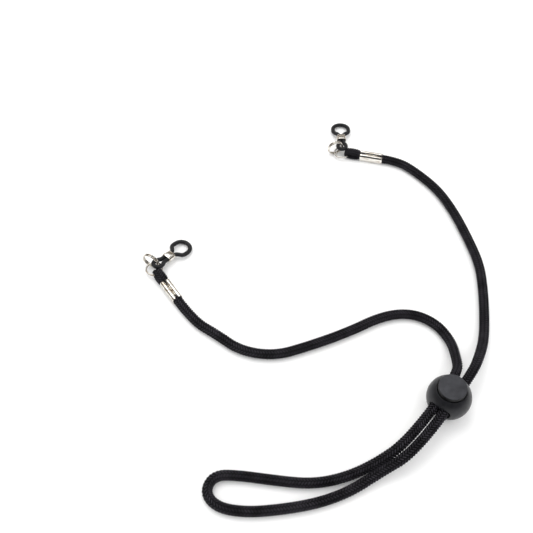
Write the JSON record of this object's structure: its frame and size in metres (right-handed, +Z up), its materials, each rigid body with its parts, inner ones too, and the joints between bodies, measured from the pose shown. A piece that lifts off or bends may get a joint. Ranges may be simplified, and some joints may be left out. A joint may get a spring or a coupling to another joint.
{
  "type": "eyeglass retainer strap",
  "caption": "Braided neck cord with a sprung ball cord lock, folded metal crimps, linked rings and rubber loops that grip the temple arms of glasses.",
  "frame": {"origin": "on the floor below the middle of the hardware: the cord lock, crimps, rings and temple loops", "axes": "+Z up from the surface that the strap lies on, +Y from the hand loop towards the temple loops, +X to the side of the cord lock"},
  "size_m": [0.1594, 0.2142, 0.0176],
  "materials": {
    "cord_black": "round braid",
    "lock_plastic": "satin moulded",
    "spring_steel": "drawn wire",
    "nickel_plate": "bright nickel",
    "black_rubber": "satin extruded"
  },
  "bodies": {
    "strap": {"neck_cord": "cord_black", "left_crimp": "nickel_plate", "left_cord_eye": "cord_black", "right_crimp": "nickel_plate", "right_cord_eye": "cord_black"},
    "cord_lock": {"toggle_body": "lock_plastic", "toggle_spring": "spring_steel"},
    "lock_button": {"toggle_button": "lock_plastic"},
    "left_ring_one": {"left_jump_ring": "nickel_plate"},
    "left_ring_two": {"left_split_ring": "nickel_plate"},
    "left_loop": {"left_temple_loop": "black_rubber"},
    "left_slider": {"left_loop_slider": "nickel_plate"},
    "right_ring_one": {"right_jump_ring": "nickel_plate"},
    "right_ring_two": {"right_split_ring": "nickel_plate"},
    "right_loop": {"right_temple_loop": "black_rubber"},
    "right_slider": {"right_loop_slider": "nickel_plate"}
  },
  "joints": [
    {"name": "toggle_slide", "type": "slide", "parent": "strap", "child": "cord_lock", "axis": [-0.6157, -0.788, 0], "range_m": [0, 0.012]},
    {"name": "button_press", "type": "slide", "parent": "cord_lock", "child": "lock_button", "axis": [0, 0, -1], "range_m": [0, 0.0024], "stiffness_N_per_m": 900, "springref_m": -0.0012, "deforming": ["toggle_spring"]},
    {"name": "left_jump_ring_swing", "type": "hinge", "parent": "strap", "child": "left_ring_one", "pos_m": [-0.06316, -0.01298, 0.0023], "axis": [0.8209, 0.5711, 0], "range_deg": [0, 45]},
    {"name": "left_split_ring_swing", "type": "hinge", "parent": "left_ring_one", "child": "left_ring_two", "pos_m": [-0.06702, -0.00657, 0.00191], "axis": [-0.8884, -0.459, -0.0068], "range_deg": [0, 40]},
    {"name": "left_loop_swing", "type": "hinge", "parent": "left_ring_two", "child": "left_loop", "pos_m": [-0.06356, -0.0082, 0.0039], "axis": [0, 0, 1], "range_deg": [-40, 40]},
    {"name": "left_slider_slide", "type": "slide", "parent": "left_loop", "child": "left_slider", "axis": [0.6776, 0.7222, -0.1392], "range_m": [-0.0013, 0]},
    {"name": "right_jump_ring_swing", "type": "hinge", "parent": "strap", "child": "right_ring_one", "pos_m": [0.02989, 0.06449, 0.0023], "axis": [0.2231, 0.9748, 0], "range_deg": [0, 45]},
    {"name": "right_split_ring_swing", "type": "hinge", "parent": "right_ring_one", "child": "right_ring_two", "pos_m": [0.02273, 0.06664, 0.00191], "axis": [-0.3485, -0.9373, -0.0068], "range_deg": [0, 40]},
    {"name": "right_loop_swing", "type": "hinge", "parent": "right_ring_two", "child": "right_loop", "pos_m": [0.02638, 0.06776, 0.0039], "axis": [0, 0, 1], "range_deg": [-40, 40]},
    {"name": "right_slider_slide", "type": "slide", "parent": "right_loop", "child": "right_slider", "axis": [0.0154, 0.9901, -0.1392], "range_m": [-0.0013, 0]}
  ]
}
